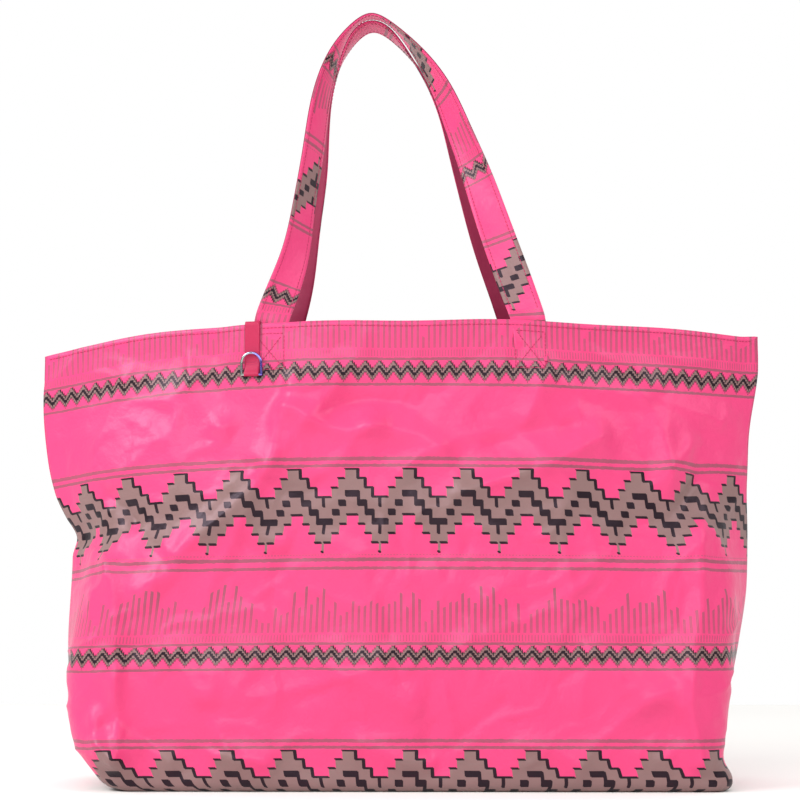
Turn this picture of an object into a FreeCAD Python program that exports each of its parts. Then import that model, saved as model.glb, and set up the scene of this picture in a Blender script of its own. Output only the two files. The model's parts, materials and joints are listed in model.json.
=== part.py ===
"""Large open beach tote: two printed panels sewn into a bag with a boxed base, two flat
shoulder straps, a ribbon tab with a D-ring, and a slip pocket inside.

Millimetres. Origin: centre of the base on the ground. +X to the bag's right, -Y to its front, +Z up.
Cloth pieces are thin closed solids, each one layer of the sewn stack, a hair apart.
"""
import FreeCAD, Part
import math
import os

from FreeCAD import Vector

# ---- driving dimensions -------------------------------------------------------------------
BASE_LENGTH = 500.0
BASE_DEPTH = 140.0
BASE_CORNER = 30.0        # plan radius of the base's four corners
BASE_ROUND = 14.0         # radius where a wall turns under into the base
RIM_LENGTH = 600.0        # side seam to side seam along X
RIM_DEPTH = 164.0         # how far the mouth stands open, front to back
RIM_HEIGHT = 374.0        # at the middle of the front and the back
RIM_HEIGHT_AT_SEAM = 362.0
# (height, half the width at the side seams): the seams bow in above the base and out at the rim
SEAM_LINE = [(0, 250), (45, 268), (110, 274), (200, 272), (280, 286), (340, 299), (RIM_HEIGHT, 300)]

CLOTH = 1.0               # printed panel
FACING = 0.6              # plain band inside the rim
FACING_DEPTH = 32.0
GAP = 0.15                # between neighbouring layers
THREAD = 0.4              # height of a stitch line
SEAT = 0.1                # between a stitch line and the cloth it lies on
THREAD_WIDTH = 0.9
STITCH_DROP = 3.5         # rim stitch below the rim

BINDING_WIDTH = 9.0
BINDING = 1.4
BINDING_START = 4.0       # from a side seam
BINDING_FOOT = 30.0       # a side binding's lower end, above the base
BINDING_EASE = 0.8        # between a side binding and the wall it lies on

STRAP_WIDTH = 28.0
STRAP_LAYER = 0.8         # face and backing each
STRAP_SPACING = 210.0     # between a strap's two roots
STRAP_SEWN = 31.0         # length of strap sewn inside the rim
STRAP_START = 6.0         # free strap begins this far above the rim
STRAP_RISE = 270.0        # middle of the strap's width at the top of its arch, above the rim
STRAP_SETTLE = 45.0       # over this length from a root the strap turns square to its own line
STRAP_APART = 1.5         # at least, between the two straps where they meet
STRAP_EDGE = 3.0          # stitch line from the strap's edge
BOX_STITCH = (24.0, 29.0)
BOX_STITCH_DROP = 4.0

TAB_X = -118.6
TAB_WIDTH = 12.0
TAB = 1.2                 # ribbon folded double
TAB_DROP = 41.5           # from the rim to the ring's bar
TAB_SEWN = 24.0
RING_WIRE = 2.2
RING_WIDTH = 18.6
RING_HEIGHT = 19.6
RING_FIT = 0.1            # between the ring's bar and the loop, all round
RING_LEAN = 5.0           # degrees the raised ring stands off its tab

POCKET_WIDTH = 220.0
POCKET_BOTTOM = 168.0
POCKET_TOP = 324.0
POCKET_EASE = 20.0        # how far the middle of its mouth stands off the wall
POCKET_HEM = 18.0

FRONT, BACK = -1, 1


# ---- curves and surfaces of the bag -------------------------------------------------------
def smooth(points, x):
    """Cubic curve through (x, y) points, level beyond the ends."""
    if x <= points[0][0]:
        return points[0][1]
    if x >= points[-1][0]:
        return points[-1][1]
    i = max(k for k, p in enumerate(points[:-1]) if p[0] <= x)

    def slope(k):
        lo, hi = points[max(k - 1, 0)], points[min(k + 1, len(points) - 1)]
        return (hi[1] - lo[1]) / (hi[0] - lo[0])

    (x0, y0), (x1, y1) = points[i], points[i + 1]
    h = x1 - x0
    t = (x - x0) / h
    rise = y0 * (2 * t**3 - 3 * t**2 + 1) + y1 * (3 * t**2 - 2 * t**3)
    return rise + h * slope(i) * (t**3 - 2 * t**2 + t) + h * slope(i + 1) * (t**3 - t**2)


def rim_height(s):
    return RIM_HEIGHT - (RIM_HEIGHT - RIM_HEIGHT_AT_SEAM) * s * s


def rounded_half(s, a, b, r):
    """Half of a rounded rectangle, from one side seam (s = -1) round the front to the other."""
    length = (a - r) + math.pi * r / 2 + (b - r)
    t = abs(s) * length
    side = math.copysign(1, s)
    if t <= a - r:
        return side * t, b
    t -= a - r
    if t <= math.pi * r / 2:
        return side * (a - r + r * math.sin(t / r)), b - r + r * math.cos(t / r)
    return side * a, b - r - (t - math.pi * r / 2)


def wall_point(face, s, z, inset=0.0):
    """Point of a panel's outer side: s across from seam to seam, z up the middle of the panel."""
    share = min(max(z / RIM_HEIGHT, 0.0), 1.0)
    lens = share * share * (3 - 2 * share)
    a = smooth(SEAM_LINE, z) - inset
    b = (BASE_DEPTH + (RIM_DEPTH - BASE_DEPTH) * share) / 2 - inset
    rx, ry = rounded_half(s, a, b, BASE_CORNER - inset / 2)
    x = (1 - lens) * rx + lens * a * s
    y = (1 - lens) * ry + lens * b * (1 - s * s)
    y = GAP / 2 + y * (b - GAP / 2) / b
    return Vector(x, face * y, z * rim_height(s) / RIM_HEIGHT)


def wall_normal(face, s, z):
    step_s, step_z = 0.004, 1.0
    s0, s1 = max(s - step_s, -1), min(s + step_s, 1)
    z0, z1 = max(z - step_z, 0), z + step_z
    across = wall_point(face, s1, z) - wall_point(face, s0, z)
    up = wall_point(face, s, z1) - wall_point(face, s, z0)
    out = across.cross(up) * -face
    return out.normalize()


def on_wall(face, s, z, depth):
    """Point at a depth inside the panel's outer side (negative is outside it)."""
    p = wall_point(face, s, z)
    n = wall_normal(face, s, z)
    if abs(s) > 0.9999:
        return p - Vector(depth / n.x, 0, 0)
    return p - n * depth


def across_at(face, x, z):
    """The s at which the wall passes a given x."""
    low, high = -1.0, 1.0
    for _ in range(40):
        s = (low + high) / 2
        if wall_point(face, s, z).x < x:
            low = s
        else:
            high = s
    return (low + high) / 2


def steps(start, end, size):
    count = max(int(math.ceil(abs(end - start) / size)), 2)
    return [start + (end - start) * i / count for i in range(count + 1)]


# ---- solids -------------------------------------------------------------------------------
def surface(grid):
    sheet = Part.BSplineSurface()
    sheet.interpolate(grid)
    return sheet


def borders(sheet):
    u0, u1, v0, v1 = sheet.bounds()
    curves = (sheet.uIso(u0), sheet.uIso(u1), sheet.vIso(v0), sheet.vIso(v1))
    return [c.toShape() for c in curves]


def closed(faces):
    shell = Part.Compound(faces)
    shell.sewShape(0.01)
    solid = Part.Solid(shell.Shells[0])
    if solid.Volume < 0:
        solid.reverse()
    return solid


def slab(near, far):
    """Solid between two grids of points of the same size."""
    sheets = [surface(near), surface(far)]
    sides = [Part.makeRuledSurface(a, b) for a, b in zip(borders(sheets[0]), borders(sheets[1]))]
    return closed([s.toShape() for s in sheets] + sides)


def patch(face, s_range, z_range, depth, thickness, s_step=0.04, z_step=20.0):
    """Layer of cloth on a wall. depth may be a number or a function of (s, z)."""
    at = depth if callable(depth) else lambda s, z: depth
    rows = steps(*z_range, z_step)
    columns = steps(*s_range, s_step)
    near = [[on_wall(face, s, z, at(s, z)) for s in columns] for z in rows]
    far = [[on_wall(face, s, z, at(s, z) + thickness) for s in columns] for z in rows]
    return slab(near, far)


def seam(face, start, end):
    """Stitch line between two (x, z) places on a panel's outer side."""
    (x0, z0), (x1, z1) = start, end
    count = max(int(math.hypot(x1 - x0, z1 - z0) / 12), 2)
    length = math.hypot(x1 - x0, z1 - z0)
    side_x, side_z = -(z1 - z0) / length, (x1 - x0) / length
    grids = []
    for level in (-SEAT - THREAD, -SEAT):
        grid = []
        for i in range(count + 1):
            x, z = x0 + (x1 - x0) * i / count, z0 + (z1 - z0) * i / count
            row = []
            for edge in (-1, 0, 1):
                px, pz = x + edge * side_x * THREAD_WIDTH / 2, z + edge * side_z * THREAD_WIDTH / 2
                row.append(on_wall(face, across_at(face, px, pz), pz, level))
            grid.append(row)
        grids.append(grid)
    return slab(*grids)


# ---- the bag's cloth ----------------------------------------------------------------------
def panel(face):
    """One wall with its own half of the base, in one piece of cloth."""
    columns = steps(-1, 1, 0.035)
    under = [math.radians(a) for a in (90, 72, 54, 36, 18)]
    rows = [(BASE_ROUND * (1 - math.cos(a)), BASE_ROUND * (1 - math.sin(a))) for a in under]
    rows += [(0.0, z) for z in steps(BASE_ROUND, RIM_HEIGHT, 18)]

    def outer(s, row):
        inset, z = rows[row]
        return wall_point(face, s, z, inset)

    def normal(s, row):
        low, high = max(row - 1, 0), min(row + 1, len(rows) - 1)
        across = outer(min(s + 0.004, 1), row) - outer(max(s - 0.004, -1), row)
        return (across.cross(outer(s, high) - outer(s, low)) * -face).normalize()

    def inner(s, row):
        p = outer(s, row)
        if row == 0:
            return p + Vector(0, 0, CLOTH)
        n = normal(s, row)
        if abs(s) > 0.9999:
            flat = math.hypot(n.x, n.z)
            return p - Vector(n.x, 0, n.z) * (CLOTH / flat / flat)
        return p - n * CLOTH

    sheets = [surface([[side(s, r) for s in columns] for r in range(len(rows))]) for side in (outer, inner)]
    edges = [borders(s) for s in sheets]
    faces = [s.toShape() for s in sheets]
    # borders() gives the base edge, the rim edge, and the two side seams
    faces += [Part.makeRuledSurface(edges[0][i], edges[1][i]) for i in (1, 2, 3)]
    ends = []
    for level, inside in ((0.0, edges[0][0]), (CLOTH, edges[1][0])):
        a, b = inside.Vertexes[0].Point, inside.Vertexes[-1].Point
        across = Part.LineSegment(b, a).toShape()
        faces.append(Part.Face(Part.Wire([inside, across])))
        ends.append(across)
    faces.append(Part.makeRuledSurface(ends[0], ends[1]))
    return closed(faces)


def facing(face):
    return patch(face, (-0.985, 0.985), (RIM_HEIGHT - FACING_DEPTH, RIM_HEIGHT), CLOTH + GAP, FACING)


def rim_stitch(face):
    level = RIM_HEIGHT - STITCH_DROP
    return patch(face, (-0.985, 0.985), (level, level + THREAD_WIDTH), -SEAT - THREAD, THREAD)


def side_binding(side):
    """Tape over the side seam's allowance, turned on to the back wall."""
    s_range = [side * (1 - d / (RIM_LENGTH / 2)) for d in (BINDING_START, BINDING_START + BINDING_WIDTH)]
    top = RIM_HEIGHT - FACING_DEPTH - 2
    return patch(BACK, sorted(s_range), (BINDING_FOOT, top), CLOTH + BINDING_EASE, BINDING, s_step=0.01)


def base_tape(x0, x1, y0, y1):
    """Binding tape lying on the base, inside the bag."""
    return Part.makeBox(x1 - x0, y1 - y0, BINDING, Vector(x0, y0, CLOTH + GAP))


# ---- straps -------------------------------------------------------------------------------
# (x, height above the rim) along the middle of a strap, left root to right root.
# The arch is gathered to the left of centre.
ARCH = [(-105, 0), (-88, 50), (-75, 125), (-65, 190), (-48, 243), (-25, 264), (0, 249), (28, 211),
        (52, 157), (76, 85), (105, 0)]
# (share of the way along, degrees the strap's face has turned from the wall towards the arch's inside)
ARCH_TWIST = [(0, 11), (0.12, 46), (0.28, 60), (0.4, 80), (0.48, 106), (0.56, 92), (0.7, 52), (0.84, 16),
              (1, 11)]


def strap_root(face, x):
    """Centre of a strap where it leaves the rim, inside the panel and its facing."""
    s = across_at(face, x, RIM_HEIGHT)
    return on_wall(face, s, RIM_HEIGHT, CLOTH + FACING + 3 * GAP + TAB + STRAP_LAYER)


def strap_frames(face, count=64):
    """Along a free strap: its middle, the direction across it, and its printed side's normal."""
    root = strap_root(face, STRAP_SPACING / 2)
    top_y = face * (STRAP_APART + STRAP_WIDTH) / 2
    line = Part.BSplineCurve()
    scale = STRAP_RISE / max(h for _, h in ARCH)
    places = []
    for x, h in ARCH:
        rise = h * scale
        y = root.y + (top_y - root.y) * rise / STRAP_RISE
        places.append(Vector(x, y, root.z + rise))
    lean = Vector(0, top_y - root.y, STRAP_RISE).normalize()
    front = Vector(0, face * lean.z, -face * lean.y)
    line.interpolate(Points=places)
    edge = line.toShape()
    clear = [STRAP_START + (edge.Length - 2 * STRAP_START) * i / count for i in range(count + 1)]
    frames = []
    for distance in clear:
        at = edge.getParameterByLength(distance)
        tangent = edge.tangentAt(at)
        away = tangent.cross(front) * -face
        away.normalize()
        twist = math.radians(smooth(ARCH_TWIST, distance / edge.Length))
        width = away * math.cos(twist) - front * math.sin(twist)
        normal = front * math.cos(twist) + away * math.sin(twist)
        level = Vector(width.x, width.y, 0).normalize()
        loose = min(min(distance, edge.Length - distance) / STRAP_SETTLE, 1)
        width = (level * (1 - loose) + width * loose).normalize()
        frames.append((edge.valueAt(at), width, normal))
    return frames


def strap_layer(face, low, high, left=-0.5, right=0.5):
    """Layer of a free strap between two heights over its middle; left and right as shares of its width."""
    grids = []
    for level in (low, high):
        grid = []
        for middle, width, normal in strap_frames(face):
            shares = (left, (left + right) / 2, right)
            grid.append([middle + width * (STRAP_WIDTH * k) + normal * level for k in shares])
        grids.append(grid)
    return slab(*grids)


def strap_stitch(face):
    """Two stitch lines along a strap's printed side."""
    inner = STRAP_EDGE / STRAP_WIDTH
    outer = inner + THREAD_WIDTH / STRAP_WIDTH
    low = STRAP_LAYER + SEAT
    lines = [strap_layer(face, low, low + THREAD, left, right)
             for left, right in ((-0.5 + inner, -0.5 + outer), (0.5 - outer, 0.5 - inner))]
    return Part.Compound(lines)


def strap_end(face, side):
    """End of a strap, sewn flat inside the rim."""
    x = side * STRAP_SPACING / 2
    s_range = [across_at(face, x + k * STRAP_WIDTH / 2, RIM_HEIGHT) for k in (-1, 1)]
    over_tab = face == FRONT and side < 0
    depth = CLOTH + FACING + 2 * GAP + (TAB + GAP if over_tab else 0)
    return patch(face, s_range, (RIM_HEIGHT - STRAP_SEWN, RIM_HEIGHT), depth, 2 * STRAP_LAYER, s_step=0.02)


def box_stitch(face, side):
    """Stitched box with a cross in it, showing outside where a strap end is sewn on."""
    width, height = BOX_STITCH
    x = side * STRAP_SPACING / 2
    top = RIM_HEIGHT - BOX_STITCH_DROP - STITCH_DROP
    x0, x1, z0, z1 = x - width / 2, x + width / 2, top - height, top
    t = THREAD_WIDTH
    middle = ((x0 + x1) / 2, (z0 + z1) / 2)
    lines = [((x0, z0 - t / 2), (x0, z1 + t / 2)), ((x1, z0 - t / 2), (x1, z1 + t / 2))]
    lines += [((x0 + t / 2, z), (x1 - t / 2, z)) for z in (z0, z1)]
    reach, gap = 0.92, 0.12
    for corner in ((x0, z0), (x0, z1), (x1, z0), (x1, z1)):
        arm = [[m + (c - m) * k for m, c in zip(middle, corner)] for k in (gap, reach)]
        lines.append(tuple(arm))
    return Part.Compound([seam(face, a, b) for a, b in lines])


# ---- tab and ring, drawn with the rim's crest at the origin and the wall along X -----------
def at_rim(shape):
    s = across_at(FRONT, TAB_X, RIM_HEIGHT)
    n = wall_normal(FRONT, s, RIM_HEIGHT - TAB_DROP / 2)
    shape.rotate(Vector(0, 0, 0), Vector(1, 0, 0), math.degrees(math.asin(-n.z)))
    shape.rotate(Vector(0, 0, 0), Vector(0, 0, 1), math.degrees(math.atan2(n.x, -n.y)))
    shape.translate(wall_point(FRONT, s, RIM_HEIGHT))
    return shape


TAB_FACE = -THREAD - SEAT - GAP - TAB          # outer side of the hanging ribbon
RING_Y = -(RING_WIRE / 2 + RING_FIT + TAB) - THREAD - SEAT - GAP
RIBBON_OVER_RIM = 0.3                          # under the ribbon, above the rim


def ribbon(y0, y1, z0, z1):
    return Part.makeBox(TAB_WIDTH, y1 - y0, z1 - z0, Vector(-TAB_WIDTH / 2, y0, z0))


def tab_end():
    """The ribbon's two ends, sewn inside the rim, and the fold over its crest."""
    inside = CLOTH + FACING + 2 * GAP
    up = ribbon(inside, inside + TAB, -TAB_SEWN, RIBBON_OVER_RIM)
    over = ribbon(TAB_FACE, inside + TAB, RIBBON_OVER_RIM, RIBBON_OVER_RIM + TAB)
    return at_rim(up.fuse(over).removeSplitter())


def ring_tab():
    """The hanging part of the folded ribbon, with the loop that holds the ring's bar."""
    hang = ribbon(TAB_FACE, TAB_FACE + TAB, -TAB_DROP, RIBBON_OVER_RIM - 0.4)
    bore = RING_WIRE / 2 + RING_FIT
    start = Vector(-TAB_WIDTH / 2, RING_Y, -TAB_DROP)
    along = Vector(1, 0, 0)
    loop = Part.makeCylinder(bore + TAB, TAB_WIDTH, start, along)
    hole = Part.makeCylinder(bore, TAB_WIDTH, start, along)
    return at_rim(hang.fuse(loop).cut(hole).removeSplitter())


def tab_stitch():
    """Bar tacks across the ribbon above its loop."""
    top = -TAB_DROP + RING_WIRE / 2 + RING_FIT + TAB + 1.5
    outside = TAB_FACE - SEAT
    bars = [ribbon(outside - THREAD, outside, top + k * 2.0, top + k * 2.0 + 0.7) for k in (0, 1)]
    return at_rim(Part.Compound(bars))


def d_ring():
    """Welded wire D: bar through the tab's loop, two short sides and a half round."""
    r = RING_WIRE / 2
    half = RING_WIDTH / 2 - r
    side = RING_HEIGHT - 2 * r - half
    along, up = Vector(1, 0, 0), Vector(0, 0, 1)
    ring = Part.makeCylinder(r, 2 * half, Vector(-half, 0, 0), along)
    for x in (-half, half):
        ring = ring.fuse(Part.makeSphere(r, Vector(x, 0, 0)))
        ring = ring.fuse(Part.makeCylinder(r, side, Vector(x, 0, 0), up))
    arch = Part.makeTorus(half, r, Vector(0, 0, side), Vector(0, 1, 0))
    room = Part.makeBox(RING_WIDTH + 2, 2 * RING_WIRE, RING_WIDTH, Vector(-half - r - 1, -RING_WIRE, side))
    ring = ring.fuse(arch.common(room)).removeSplitter()
    ring.rotate(Vector(0, 0, 0), along, RING_LEAN)
    ring.translate(Vector(0, RING_Y, -TAB_DROP))
    return at_rim(ring)


# ---- slip pocket on the back wall ---------------------------------------------------------
POCKET_DEPTH = CLOTH + GAP


def pocket_share(s, z):
    """0 on the pocket's sewn edges, 1 at the middle of its mouth."""
    edge = across_at(BACK, POCKET_WIDTH / 2, z)
    up = (z - POCKET_BOTTOM) / (POCKET_TOP - POCKET_BOTTOM)
    return max(1 - (s / edge) ** 2, 0) * math.sin(min(max(up, 0), 1) * math.pi / 2)


def pocket_layer(z_range, lift, thickness):
    half = across_at(BACK, POCKET_WIDTH / 2, POCKET_TOP)

    def depth(s, z):
        return POCKET_DEPTH + lift + POCKET_EASE * pocket_share(s, z)

    return patch(BACK, (-half, half), z_range, depth, thickness, s_step=0.03, z_step=13)


def pocket_stitch():
    half = POCKET_WIDTH / 2 - STRAP_EDGE
    low = POCKET_BOTTOM + STRAP_EDGE
    edges = [((-half, low), (-half, POCKET_TOP - 2)), ((half, low), (half, POCKET_TOP - 2)),
             ((-half + 1, low), (half - 1, low))]
    return Part.Compound([seam(BACK, a, b) for a, b in edges])


def parts():
    """Every sub-part by name."""
    shapes = {}
    for face, name in ((FRONT, "front"), (BACK, "back")):
        shapes[f"{name}_panel"] = panel(face)
        shapes[f"{name}_rim_facing"] = facing(face)
        shapes[f"{name}_rim_stitch"] = rim_stitch(face)
        shapes[f"{name}_strap_face"] = strap_layer(face, 0, STRAP_LAYER)
        shapes[f"{name}_strap_backing"] = strap_layer(face, -STRAP_LAYER, 0)
        shapes[f"{name}_strap_stitch"] = strap_stitch(face)
        for side, hand in ((-1, "left"), (1, "right")):
            shapes[f"{name}_{hand}_strap_end"] = strap_end(face, side)
            shapes[f"{name}_{hand}_box_stitch"] = box_stitch(face, side)
    reach = BASE_LENGTH / 2 - BASE_ROUND - 2
    half = BASE_DEPTH / 2 - BASE_CORNER
    for side, hand in ((-1, "left"), (1, "right")):
        shapes[f"{hand}_side_binding"] = side_binding(side)
        x0, x1 = sorted((side * reach, side * (reach - BINDING_WIDTH)))
        shapes[f"{hand}_corner_binding"] = base_tape(x0, x1, -half, half)
    run = reach - BINDING_WIDTH - 1
    shapes["bottom_binding"] = base_tape(-run, run, 0.5, 0.5 + BINDING_WIDTH)
    shapes["tab_end"] = tab_end()
    shapes["ring_tab"] = ring_tab()
    shapes["tab_stitch"] = tab_stitch()
    shapes["d_ring"] = d_ring()
    shapes["pocket_panel"] = pocket_layer((POCKET_BOTTOM, POCKET_TOP), 0, FACING)
    shapes["pocket_hem"] = pocket_layer((POCKET_TOP - POCKET_HEM, POCKET_TOP), FACING + GAP, FACING)
    shapes["pocket_stitch"] = pocket_stitch()
    return shapes


os.makedirs("parts", exist_ok=True)
for node, shape in parts().items():
    shape.exportStep(f"parts/{node}.step")
    print(node, shape.ShapeType, "valid" if shape.isValid() else "NOT VALID", round(shape.Volume))
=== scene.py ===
import json
import math

import bpy
import numpy as np
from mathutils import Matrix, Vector


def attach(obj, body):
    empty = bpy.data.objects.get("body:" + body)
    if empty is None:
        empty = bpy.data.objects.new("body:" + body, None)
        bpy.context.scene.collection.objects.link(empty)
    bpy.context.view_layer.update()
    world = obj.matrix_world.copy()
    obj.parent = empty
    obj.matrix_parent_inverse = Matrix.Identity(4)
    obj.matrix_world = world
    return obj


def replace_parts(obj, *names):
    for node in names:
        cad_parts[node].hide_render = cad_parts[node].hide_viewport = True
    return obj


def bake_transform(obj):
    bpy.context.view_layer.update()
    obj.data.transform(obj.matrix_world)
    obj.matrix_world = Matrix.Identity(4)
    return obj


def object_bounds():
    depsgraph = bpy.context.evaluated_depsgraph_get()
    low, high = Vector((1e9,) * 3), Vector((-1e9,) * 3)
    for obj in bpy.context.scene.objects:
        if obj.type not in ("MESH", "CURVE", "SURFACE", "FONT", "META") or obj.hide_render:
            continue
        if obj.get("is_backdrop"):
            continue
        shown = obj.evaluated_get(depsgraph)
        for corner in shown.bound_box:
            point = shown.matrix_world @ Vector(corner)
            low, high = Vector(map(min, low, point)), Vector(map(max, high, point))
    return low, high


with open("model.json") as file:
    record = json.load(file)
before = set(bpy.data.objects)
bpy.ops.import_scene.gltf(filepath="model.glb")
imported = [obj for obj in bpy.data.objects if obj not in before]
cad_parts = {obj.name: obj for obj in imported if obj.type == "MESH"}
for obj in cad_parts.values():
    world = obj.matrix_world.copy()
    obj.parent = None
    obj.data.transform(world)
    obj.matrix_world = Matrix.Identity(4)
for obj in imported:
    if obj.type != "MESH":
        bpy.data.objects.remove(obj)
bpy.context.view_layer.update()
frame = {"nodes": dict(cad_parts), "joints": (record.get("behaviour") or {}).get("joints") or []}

# Lengths are millimetres until a mesh is made, which turns them into metres.
# ---- the bag's shape ----------------------------------------------------------------------
RIM, RIM_SIDE_DROP, RIM_TILT = 374.0, 12.0, 8.0
SEAM_LINE = [(0, 250), (45, 268), (110, 274), (200, 272), (280, 286), (340, 299), (374, 300)]
LEFT_EASE = [(0, -20), (10, -13), (25, -8), (50, -1), (110, 2), (196, 2), (214, -3), (232, 4), (252, 9),
             (290, 9), (350, 0)]
RIGHT_EASE = [(0, 14), (12, 8), (25, -3), (42, -7), (60, -5), (80, -1), (120, 6), (165, 15), (205, 16),
              (250, 9), (300, 2), (350, 0)]
BASE_ROUND = 8.0
CORNER = 30.0
CLOTH, FACING, GAP = 1.0, 0.6, 0.15
CLOTH_HALF = 316.0
# how much longer the cloth is than the wall is tall: at a depth below the rim, at the foot, over the base
SLACK, SLACK_DEPTH, FOOT_SLACK, BASE_RUN = 9.6, 341, 11.3, 56
STRAP_WIDTH, STRAP_LAYER, STRAP_X, STRAP_SEWN = 28.0, 0.8, 105.0, 31.0
TAB_X, TAB_WIDTH, TAB, TAB_DROP = -118.6, 12.0, 1.2, 41.5
POCKET_HALF, POCKET_BOTTOM, POCKET_TOP, POCKET_EASE = 110.0, 168.0, 324.0, 20.0
FRONT, BACK = -1, 1
WALL_ROWS = 129
FOLD_SCALE = 3.0


def curve(points, x):
    """Smooth curve through (x, y) points, level beyond its ends."""
    xs, ys = np.array(points, float).T
    slope = np.gradient(ys, xs)
    slope[1:-1] = (ys[2:] - ys[:-2]) / (xs[2:] - xs[:-2])
    x = np.clip(x, xs[0], xs[-1])
    i = np.clip(np.searchsorted(xs, x, side="right") - 1, 0, len(xs) - 2)
    h = xs[i + 1] - xs[i]
    t = (x - xs[i]) / h
    low, high = ys[i] * (2 * t**3 - 3 * t**2 + 1), ys[i + 1] * (3 * t**2 - 2 * t**3)
    return low + high + h * (slope[i] * (t**3 - 2 * t**2 + t) + slope[i + 1] * (t**3 - t**2))


def step(low, high, x):
    t = np.clip((x - low) / (high - low), 0, 1)
    return t * t * (3 - 2 * t)


def bare_wall(face, s, z, inset=0.0):
    """Smooth outer side of a wall: s across from seam to seam, z up its middle."""
    share = np.clip(z / RIM, 0, 1)
    lens = share * share * (3 - 2 * share)
    ease = np.where(s < 0, curve(LEFT_EASE, z), curve(RIGHT_EASE, z))
    a = curve(SEAM_LINE, z) + ease - inset
    b = 70 + 12 * share + 3 * (1 - step(0, 60, z)) - inset
    r = CORNER - 12 * (1 - step(0, 90, z)) - inset / 2
    t = np.abs(s) * (a - r + math.pi * r / 2 + b - r)
    q = np.clip((t - (a - r)) / r, 0, math.pi / 2)
    past = np.maximum(t - (a - r) - math.pi * r / 2, 0)
    rx = np.minimum(t, a - r) + r * np.sin(q)
    ry = b - r + r * np.cos(q) - past
    x = np.sign(s) * ((1 - lens) * rx + lens * a * np.abs(s))
    y = (1 - lens) * ry + lens * b * (1 - s * s)
    y = GAP / 2 + y * (b - GAP / 2) / b
    top = RIM - RIM_SIDE_DROP * s**2 + RIM_TILT * s**3
    return np.stack([x, face * y, z * top / RIM], -1)


# ---- creases ------------------------------------------------------------------------------
# (x0, z0, x1, z1, width, height): where a fold runs over the front; the height is times FOLD_SCALE
FRONT_FOLDS = [
    (-112, 318, -70, 292, 9, 3.0), (-70, 292, -14, 285, 10, 2.6), (-112, 318, -150, 288, 9, 2.2),
    (-95, 322, -45, 330, 8, 1.8), (-60, 302, 8, 312, 8, -1.8), (-104, 306, -96, 262, 9, 2.0),
    (-30, 296, 40, 268, 10, 1.6), (-98, 262, -178, 184, 11, 3.4), (-178, 184, -210, 150, 11, 2.6),
    (-120, 250, -60, 236, 12, -2.0), (166, 284, 42, 230, 10, 3.2), (42, 230, 8, 214, 9, 1.8),
    (150, 292, 70, 276, 12, -1.6), (205, 300, 226, 232, 12, 2.2), (120, 330, 96, 292, 9, 1.6),
    (-226, 18, -222, 96, 8, 3.4), (-222, 96, -236, 190, 9, 2.6), (234, 16, 232, 104, 8, 3.2),
    (232, 104, 244, 214, 9, 2.4), (-238, 42, -214, 6, 7, 2.6), (-190, 120, -150, 70, 12, 1.8),
    (60, 150, 130, 118, 13, 1.6), (150, 112, 214, 66, 12, 1.8), (-60, 96, 20, 66, 14, 1.6),
    (-244, 252, -214, 214, 9, -2.6), (248, 262, 226, 226, 9, -2.4), (-150, 340, -196, 318, 10, 1.4),
    (180, 344, 214, 326, 10, 1.2), (-20, 176, 40, 190, 12, -1.2), (-140, 216, -90, 196, 10, 1.2),
    (-40, 36, 30, 22, 9, 1.6), (90, 40, 150, 20, 9, 1.4), (-150, 34, -100, 18, 8, 1.6),
    (-246, 62, -224, 22, 8, 2.0), (-226, 66, -190, 30, 9, -1.4), (-212, 42, -176, 18, 8, 1.5),
]


def fold(x, z, x0, z0, x1, z1, width, height):
    """Long crease with a narrow crest, dying out at its ends."""
    length = math.hypot(x1 - x0, z1 - z0)
    ux, uz = (x1 - x0) / length, (z1 - z0) / length
    along = (x - x0) * ux + (z - z0) * uz
    off = (z - z0) * ux - (x - x0) * uz
    off = off + 3.0 * np.sin(along / length * 5.1 + x0)
    fade = step(-width, width, along) * step(-width, width, length - along)
    return height * fade * np.exp(-np.sqrt((off / width) ** 2 + 0.06) + 0.245)


def ridges(x, z, rng, wave):
    """Net of soft ridges, from 0 between them to 1 on their crests."""
    level = np.zeros_like(x)
    for _ in range(6):
        angle, size = rng.uniform(0, math.pi), wave * rng.uniform(0.7, 1.5)
        level += np.sin((x * math.cos(angle) + z * math.sin(angle)) * 6.283 / size + rng.uniform(0, 6.28))
    return (1 - np.minimum(1, np.abs(level) / 1.35)) ** 2


def creases(face, x, z):
    """How far the cloth stands out of the smooth wall."""
    rng = np.random.default_rng(11 if face == FRONT else 23)
    out = np.zeros_like(x)
    patches = 0.35 + 0.65 * ridges(x, z, rng, 330)
    out += 4.6 * (ridges(x, z, rng, 190) - 0.4) * patches
    out += 2.3 * (ridges(x, z, rng, 85) - 0.3) * (0.3 + 0.7 * ridges(x, z, rng, 260))
    for _ in range(14):
        angle, wave = rng.uniform(0, math.pi), rng.uniform(90, 260)
        phase, size = rng.uniform(0, 6.28), rng.uniform(0.4, 1.1) * wave / 180
        out += size * np.sin((x * math.cos(angle) + z * math.sin(angle)) * 6.283 / wave + phase)
    for _ in range(170):
        x0, z0 = rng.uniform(-285, 285), rng.uniform(10, 350)
        angle, length = rng.choice([-0.65, 0.6, 1.2, -1.25]) + rng.normal(0, 0.3), rng.uniform(22, 95)
        width, height = rng.uniform(3, 7), rng.uniform(0.4, 1.9) * rng.choice([-1, 1, 1])
        x1, z1 = x0 + length * math.cos(angle), z0 + length * math.sin(angle)
        out += fold(x, z, x0, z0, x1, z1, width, height)
    if face == FRONT:
        for row in FRONT_FOLDS:
            out += fold(x, z, *row) * FOLD_SCALE
    return out


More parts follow.
